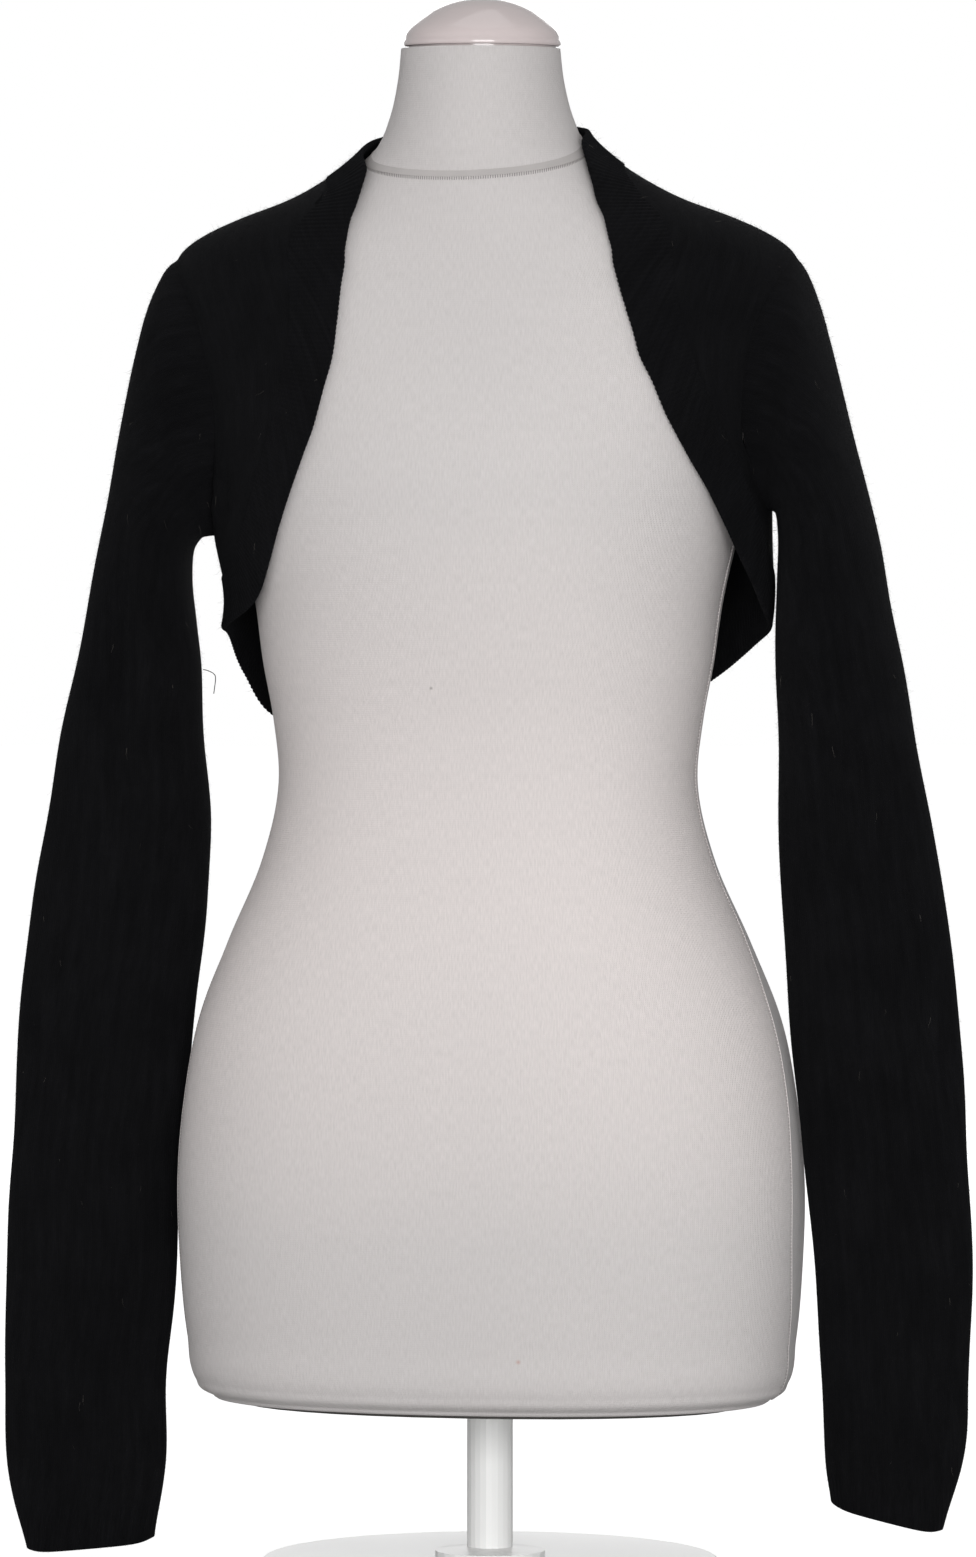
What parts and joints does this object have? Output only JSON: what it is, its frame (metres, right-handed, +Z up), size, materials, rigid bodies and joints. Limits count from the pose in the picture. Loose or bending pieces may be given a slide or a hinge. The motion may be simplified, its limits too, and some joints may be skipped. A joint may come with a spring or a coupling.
{
  "type": "bolero cardigan on a limbless dress form",
  "caption": "Open-front long-sleeved knitted bolero cardigan with a ribbed band round its whole opening, resting on a limbless dress form with a short stand.",
  "frame": {"origin": "middle of the stand plate's underside", "axes": "+Z up along the stand, the form's front faces -Y, the wearer's left is +X"},
  "size_m": [0.5348, 0.25, 0.8544],
  "materials": {
    "black_knit": "brushed fine knit, matt with a soft nap",
    "black_rib": "one by one rib, matt with a soft nap",
    "pale_jersey": "fine matt jersey stretched over the form",
    "pale_plastic": "smooth and glossy",
    "dark_board": "dark and matt",
    "white_paint": "satin"
  },
  "bodies": {
    "root": {"back": "black_knit", "left_front": "black_knit", "right_front": "black_knit", "left_sleeve": "black_knit", "right_sleeve": "black_knit", "rib_band": "black_rib", "torso": "pale_jersey", "neck_cap": "pale_plastic", "base_board": "dark_board", "stand_pole": "white_paint", "stand_plate": "white_paint"}
  },
  "joints": []
}
